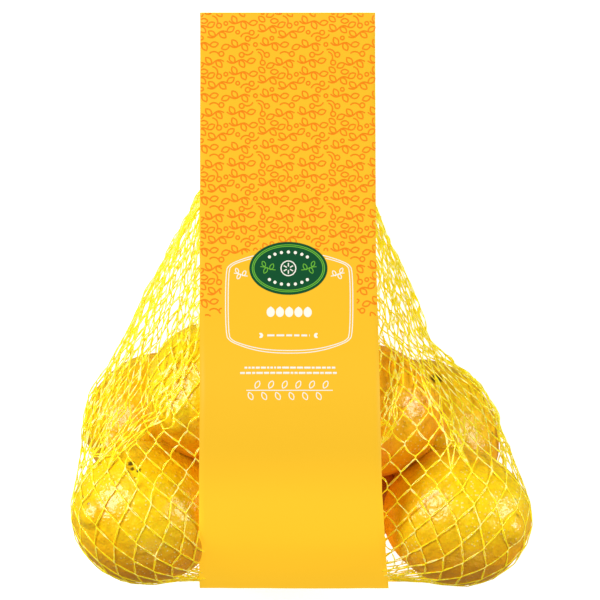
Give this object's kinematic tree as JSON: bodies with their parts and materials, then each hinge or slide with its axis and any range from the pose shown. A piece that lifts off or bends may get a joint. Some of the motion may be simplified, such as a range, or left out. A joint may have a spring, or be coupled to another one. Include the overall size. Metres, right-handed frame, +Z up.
{
  "type": "net of lemons",
  "caption": "Knitted net bag tight round a heap of lemons, gathered under a tall flat header band that runs down the front, over the foot and up the back.",
  "frame": {"origin": "on the floor under the middle of the bag's length and width; the bag lies on its back band", "axes": "+X across the bag to the right seen from the front, +Y along the bag to the header, +Z up out of the front band"},
  "size_m": [0.1988, 0.2515, 0.1142],
  "materials": {
    "lemon_rind": "ripe lemon rind, waxed, satin with fine pores",
    "net_yarn": "knitted polyethylene filament, bright and shiny",
    "band_film": "printed film, satin"
  },
  "bodies": {
    "root": {"net_of_lemons": "lemon_rind", "front_band": "band_film", "back_band": "band_film"}
  },
  "joints": []
}
